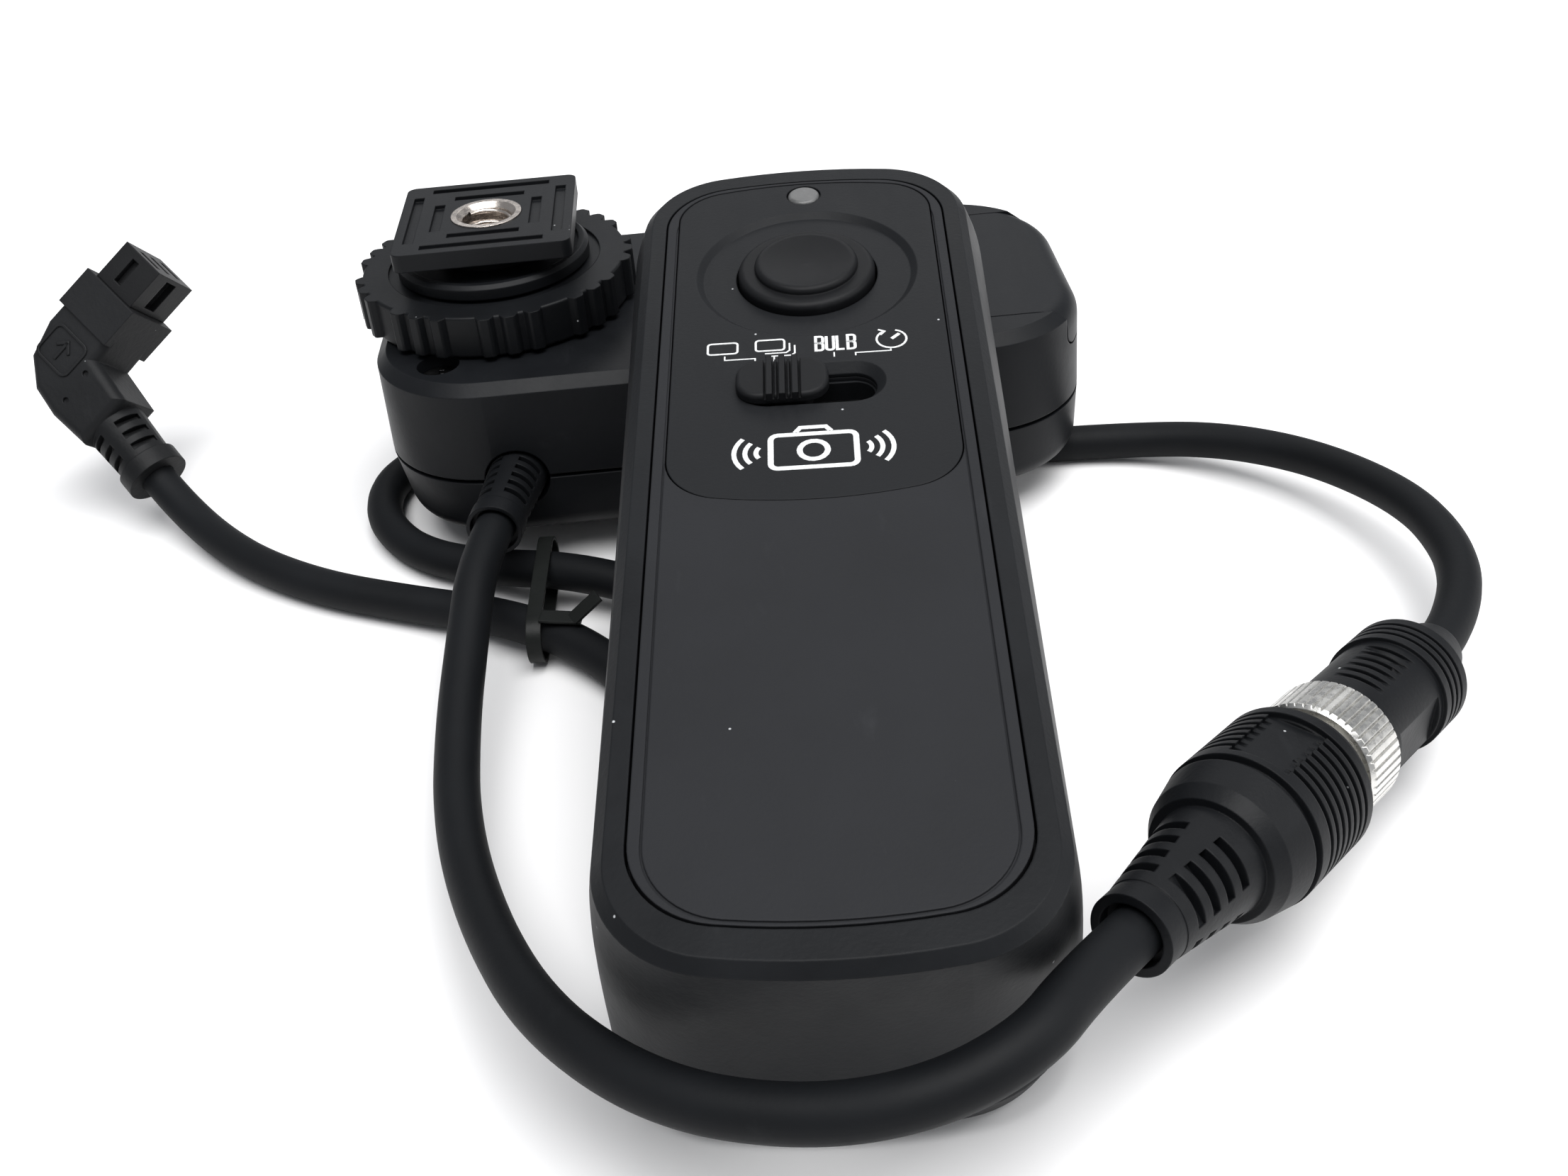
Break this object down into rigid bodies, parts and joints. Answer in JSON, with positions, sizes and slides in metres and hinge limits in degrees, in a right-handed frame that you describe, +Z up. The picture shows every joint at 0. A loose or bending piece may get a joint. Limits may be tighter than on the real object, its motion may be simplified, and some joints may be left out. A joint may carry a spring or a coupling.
{
  "type": "shutter release",
  "caption": "Radio and cable shutter release: receiver box with shoe foot and locking wheel, hand transmitter with round button and mode slider, and a camera cord with screw connector.",
  "frame": {"origin": "on the table, under the middle of the box round the receiver and the transmitter", "axes": "+Z up, +X along the receiver towards its battery door, +Y from the transmitter's lower end towards the receiver"},
  "size_m": [0.1463, 0.1234, 0.0371],
  "materials": {
    "receiver_plastic": "fine matt moulded texture",
    "handset_plastic": "matt moulded, slightly soft",
    "face_plastic": "soft-touch matt",
    "panel_plastic": "fine grained matt",
    "button_plastic": "satin",
    "cord_rubber": "satin sleeve",
    "relief_rubber": "matt rubber",
    "nickel": "plated, lightly knurled",
    "foot_metal": "satin black",
    "brass": "bright turned",
    "steel": "zinc plated",
    "lamp_plastic": "frosted",
    "board": "lacquered board",
    "cell_sleeve": "printed sleeve",
    "tie_strip": "flat plastic strip"
  },
  "bodies": {
    "receiver": {"receiver_body_shell": "receiver_plastic", "receiver_base_shell": "receiver_plastic", "receiver_battery_tray": "receiver_plastic", "receiver_cell_front": "cell_sleeve", "receiver_cell_rear": "cell_sleeve", "receiver_contacts": "steel", "receiver_board": "board", "receiver_aerial": "brass", "receiver_screw_front": "steel", "receiver_screw_rear": "steel", "shoe_foot": "foot_metal", "tripod_insert": "brass", "receiver_cable_relief": "relief_rubber", "receiver_cord": "cord_rubber", "adapter_cord": "cord_rubber", "connector_socket_body": "relief_rubber", "connector_socket_insert": "nickel", "connector_plug_body": "relief_rubber", "connector_pins": "brass", "camera_plug_body": "relief_rubber", "camera_plug_tip": "panel_plastic", "camera_plug_contacts": "brass", "twist_tie": "tie_strip"},
    "receiver_lid": {"receiver_battery_door": "receiver_plastic"},
    "disc": {"pressure_disc": "foot_metal"},
    "wheel": {"lock_wheel": "receiver_plastic"},
    "nut": {"coupling_ring": "nickel"},
    "handset": {"handset_top_shell": "handset_plastic", "handset_base": "handset_plastic", "face_plate": "face_plastic", "control_panel": "panel_plastic", "status_lamp": "lamp_plastic", "handset_board": "board", "shutter_switch": "steel", "slide_switch": "steel", "button_spring": "steel", "handset_cell_left": "cell_sleeve", "handset_cell_right": "cell_sleeve", "handset_contacts": "steel", "handset_screw_left": "steel", "handset_screw_right": "steel"},
    "handset_lid": {"handset_battery_door": "handset_plastic"},
    "button": {"shutter_button": "button_plastic"},
    "slider": {"mode_knob": "button_plastic"}
  },
  "joints": [
    {"name": "handset_lift", "type": "slide", "parent": "receiver", "child": "handset", "axis": [-0.1, 0.1, 0.9899], "range_m": [0, 0.06]},
    {"name": "shutter_press", "type": "slide", "parent": "handset", "child": "button", "axis": [0.0103, 0.1509, -0.9885], "range_m": [0, 0.0012], "stiffness_N_per_m": 350, "springref_m": -0.0004, "deforming": ["button_spring"]},
    {"name": "mode_slide", "type": "slide", "parent": "handset", "child": "slider", "axis": [0.9977, -0.068, 0], "range_m": [0, 0.0049]},
    {"name": "handset_lid_off", "type": "slide", "parent": "handset", "child": "handset_lid", "axis": [0.0189, 0.277, -0.9607], "range_m": [0, 0.005]},
    {"name": "disc_lift", "type": "slide", "parent": "receiver", "child": "disc", "axis": [0, 0, 1], "range_m": [0, 0.0016]},
    {"name": "wheel_turn", "type": "hinge", "parent": "disc", "child": "wheel", "pos_m": [-0.0235, 0.04273, 0.0243], "axis": [0, 0, 1], "range_deg": [0, 540]},
    {"name": "receiver_lid_slide", "type": "slide", "parent": "receiver", "child": "receiver_lid", "axis": [1, 0, 0], "range_m": [0, 0.03]},
    {"name": "nut_turn", "type": "hinge", "parent": "receiver", "child": "nut", "pos_m": [0.04361, -0.03127, 0.01109], "axis": [0.6965, 0.7014, -0.1513], "continuous": true}
  ],
  "couplings": [
    {"joint": "disc_lift", "follows": "wheel_turn", "m_per_rad": 0.000159}
  ]
}
